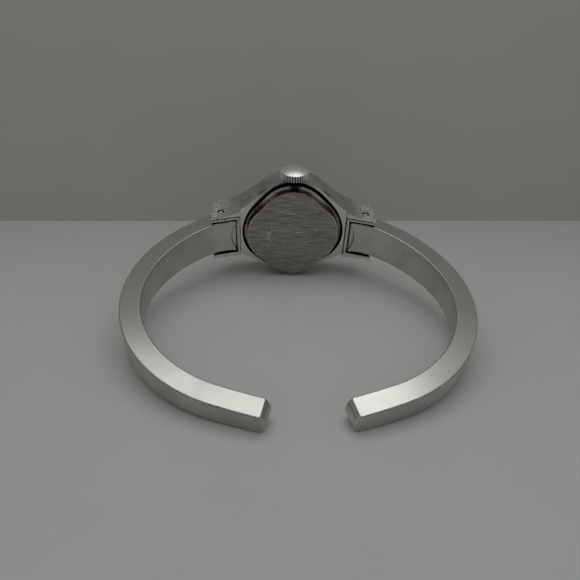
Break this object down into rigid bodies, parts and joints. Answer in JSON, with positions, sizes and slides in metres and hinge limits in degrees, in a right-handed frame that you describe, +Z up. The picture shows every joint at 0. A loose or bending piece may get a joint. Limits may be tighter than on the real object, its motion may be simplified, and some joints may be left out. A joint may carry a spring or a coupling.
{
  "type": "cuff watch",
  "caption": "Small hand-wound watch set in a rigid cuff: bell-shaped case, snap back, crown, two hinged sprung arms that curve round the wrist to an open mouth, working movement inside.",
  "frame": {"origin": "centre of the bounding box's base, on the surface the watch lies on", "axes": "+X from 6 to 12 o'clock along the longest extent; +Z up, near the crown's direction (the case leans by 10.4 degrees); +Y from the mouth towards the dial"},
  "size_m": [0.057, 0.0543, 0.0226],
  "materials": {
    "satin_steel": "satin",
    "brushed_back": "brushed",
    "hinge_steel": "satin",
    "crown_steel": "polished",
    "spring_steel": "polished",
    "movement_steel": "polished",
    "plated_brass": "satin",
    "wheel_brass": "polished",
    "black_rubber": "matte",
    "white_nylon": "matte",
    "crystal_glass": "polished",
    "ruby": "polished",
    "dial_paint": "satin",
    "hand_steel": "polished"
  },
  "bodies": {
    "case": {"case_body": "satin_steel", "case_back": "brushed_back", "back_gasket": "black_rubber", "crystal": "crystal_glass", "dial_ring": "satin_steel", "dial": "dial_paint", "hour_markers": "hand_steel", "case_tube": "crown_steel", "bracket_right": "hinge_steel", "bracket_left": "hinge_steel", "arm_spring_right": "spring_steel", "arm_spring_left": "spring_steel", "hinge_pin_right": "hinge_steel", "hinge_pin_left": "hinge_steel", "movement_ring": "white_nylon", "mainplate": "plated_brass", "barrel_bridge": "plated_brass", "train_bridge": "plated_brass", "balance_cock": "plated_brass", "pallet_bridge": "plated_brass", "bridge_screws": "movement_steel", "jewels": "ruby", "crown_wheel_screw": "movement_steel", "click_spring": "spring_steel", "hairspring": "spring_steel", "yoke_spring": "spring_steel"},
    "arm_right": {"arm_right": "satin_steel"},
    "arm_left": {"arm_left": "satin_steel"},
    "winding_pinion": {"winding_pinion": "movement_steel"},
    "crown": {"crown": "crown_steel", "stem": "movement_steel", "crown_gasket": "black_rubber"},
    "castle_wheel": {"castle_wheel": "movement_steel"},
    "crown_wheel": {"crown_wheel": "movement_steel"},
    "ratchet": {"ratchet_wheel": "movement_steel", "barrel_arbor": "movement_steel", "ratchet_screw": "movement_steel"},
    "click": {"click": "movement_steel"},
    "setting_lever": {"setting_lever": "movement_steel"},
    "yoke": {"yoke": "movement_steel"},
    "barrel": {"barrel": "wheel_brass", "barrel_cover": "wheel_brass", "mainspring": "spring_steel"},
    "centre_wheel": {"centre_wheel": "wheel_brass"},
    "third_wheel": {"third_wheel": "wheel_brass"},
    "fourth_wheel": {"fourth_wheel": "wheel_brass"},
    "escape_wheel": {"escape_wheel": "movement_steel"},
    "pallet_fork": {"pallet_fork": "movement_steel"},
    "balance": {"balance_wheel": "wheel_brass", "balance_staff": "movement_steel"},
    "regulator": {"regulator": "movement_steel"},
    "minute_hand": {"cannon_pinion": "movement_steel", "minute_hand": "hand_steel"},
    "minute_wheel": {"minute_wheel": "wheel_brass"},
    "hour_hand": {"hour_wheel": "wheel_brass", "hour_hand": "hand_steel"},
    "setting_wheel": {"setting_wheel": "wheel_brass"}
  },
  "joints": [
    {"name": "arm_right_hinge", "type": "hinge", "parent": "case", "child": "arm_right", "pos_m": [0.014, 0.01868, 0.00991], "axis": [0, -0.1806, 0.9836], "range_deg": [0, 25], "stiffness_Nm_per_rad": 0.3, "springref_deg": -11.46},
    {"name": "arm_left_hinge", "type": "hinge", "parent": "case", "child": "arm_left", "pos_m": [-0.014, 0.01868, 0.00991], "axis": [0, 0.1806, -0.9836], "range_deg": [0, 25], "stiffness_Nm_per_rad": 0.3, "springref_deg": -11.46},
    {"name": "winding", "type": "hinge", "parent": "case", "child": "winding_pinion", "pos_m": [0, 0.02126, 0.01547], "axis": [0, -0.1806, 0.9836], "continuous": true},
    {"name": "crown_slide", "type": "slide", "parent": "winding_pinion", "child": "crown", "axis": [0, -0.1806, 0.9836], "range_m": [0, 0.0006]},
    {"name": "castle_slide", "type": "slide", "parent": "winding_pinion", "child": "castle_wheel", "axis": [0, -0.1806, 0.9836], "range_m": [-0.0006006, 0]},
    {"name": "crown_wheel_turn", "type": "hinge", "parent": "case", "child": "crown_wheel", "pos_m": [0, 0.01953, 0.01412], "axis": [0, -0.9836, -0.1806], "continuous": true},
    {"name": "ratchet_turn", "type": "hinge", "parent": "case", "child": "ratchet", "pos_m": [-0.00341, 0.02003, 0.01138], "axis": [0, -0.9836, -0.1806], "continuous": true},
    {"name": "click_swing", "type": "hinge", "parent": "case", "child": "click", "pos_m": [-0.00449, 0.01943, 0.01466], "axis": [0, -0.9836, -0.1806], "range_deg": [0, 8], "stiffness_Nm_per_rad": 0.000001, "springref_deg": -11.46},
    {"name": "setting_lever_swing", "type": "hinge", "parent": "case", "child": "setting_lever", "pos_m": [0.002, 0.02204, 0.01732], "axis": [0, -0.9836, -0.1806], "range_deg": [-17.08, 0]},
    {"name": "yoke_swing", "type": "hinge", "parent": "case", "child": "yoke", "pos_m": [-0.0024, 0.02252, 0.01472], "axis": [0, -0.9836, -0.1806], "range_deg": [-14.26, 0]},
    {"name": "fourth_wheel_turn", "type": "hinge", "parent": "case", "child": "fourth_wheel", "pos_m": [0.00391, 0.02172, 0.00935], "axis": [0, -0.9836, -0.1806], "continuous": true},
    {"name": "third_wheel_turn", "type": "hinge", "parent": "case", "child": "third_wheel", "pos_m": [0.00277, 0.02174, 0.01179], "axis": [0, -0.9836, -0.1806], "continuous": true},
    {"name": "centre_wheel_turn", "type": "hinge", "parent": "case", "child": "centre_wheel", "pos_m": [0, 0.0213, 0.0104], "axis": [0, -0.9836, -0.1806], "continuous": true},
    {"name": "barrel_turn", "type": "hinge", "parent": "case", "child": "barrel", "pos_m": [-0.00341, 0.02118, 0.01159], "axis": [0, -0.9836, -0.1806], "continuous": true},
    {"name": "escape_wheel_turn", "type": "hinge", "parent": "case", "child": "escape_wheel", "pos_m": [0.0029, 0.02255, 0.00738], "axis": [0, -0.9836, -0.1806], "continuous": true},
    {"name": "pallet_swing", "type": "hinge", "parent": "case", "child": "pallet_fork", "pos_m": [0.00137, 0.0226, 0.00711], "axis": [0, -0.9836, -0.1806], "range_deg": [-5, 5]},
    {"name": "balance_swing", "type": "hinge", "parent": "case", "child": "balance", "pos_m": [-0.00125, 0.02236, 0.00657], "axis": [0, -0.9836, -0.1806], "range_deg": [-220, 220], "stiffness_Nm_per_rad": 0.000000011},
    {"name": "regulator_turn", "type": "hinge", "parent": "case", "child": "regulator", "pos_m": [-0.00125, 0.02121, 0.00636], "axis": [0, -0.9836, -0.1806], "range_deg": [-20, 20]},
    {"name": "minute_hand_turn", "type": "hinge", "parent": "case", "child": "minute_hand", "pos_m": [0, 0.02399, 0.01089], "axis": [0, -0.9836, -0.1806], "continuous": true},
    {"name": "minute_wheel_turn", "type": "hinge", "parent": "case", "child": "minute_wheel", "pos_m": [0.00174, 0.02309, 0.01119], "axis": [0, -0.9836, -0.1806], "continuous": true},
    {"name": "hour_hand_turn", "type": "hinge", "parent": "case", "child": "hour_hand", "pos_m": [0, 0.02399, 0.01089], "axis": [0, -0.9836, -0.1806], "continuous": true},
    {"name": "setting_wheel_turn", "type": "hinge", "parent": "case", "child": "setting_wheel", "pos_m": [0.00042, 0.02276, 0.01298], "axis": [0, -0.9836, -0.1806], "continuous": true}
  ],
  "couplings": [
    {"joint": "castle_slide", "follows": "crown_slide", "ratio": -1},
    {"joint": "setting_lever_swing", "follows": "crown_slide", "rad_per_m": -496.3},
    {"joint": "yoke_swing", "follows": "crown_slide", "rad_per_m": -414.52},
    {"joint": "crown_wheel_turn", "follows": "winding", "ratio": -0.8},
    {"joint": "ratchet_turn", "follows": "winding", "ratio": 0.45714},
    {"joint": "third_wheel_turn", "follows": "fourth_wheel_turn", "ratio": -0.13333},
    {"joint": "centre_wheel_turn", "follows": "fourth_wheel_turn", "ratio": 0.016667},
    {"joint": "barrel_turn", "follows": "fourth_wheel_turn", "ratio": -0.0027778},
    {"joint": "escape_wheel_turn", "follows": "fourth_wheel_turn", "ratio": -10},
    {"joint": "minute_wheel_turn", "follows": "minute_hand_turn", "ratio": -0.33333},
    {"joint": "hour_hand_turn", "follows": "minute_hand_turn", "ratio": 0.083333},
    {"joint": "setting_wheel_turn", "follows": "minute_hand_turn", "ratio": 0.5}
  ]
}
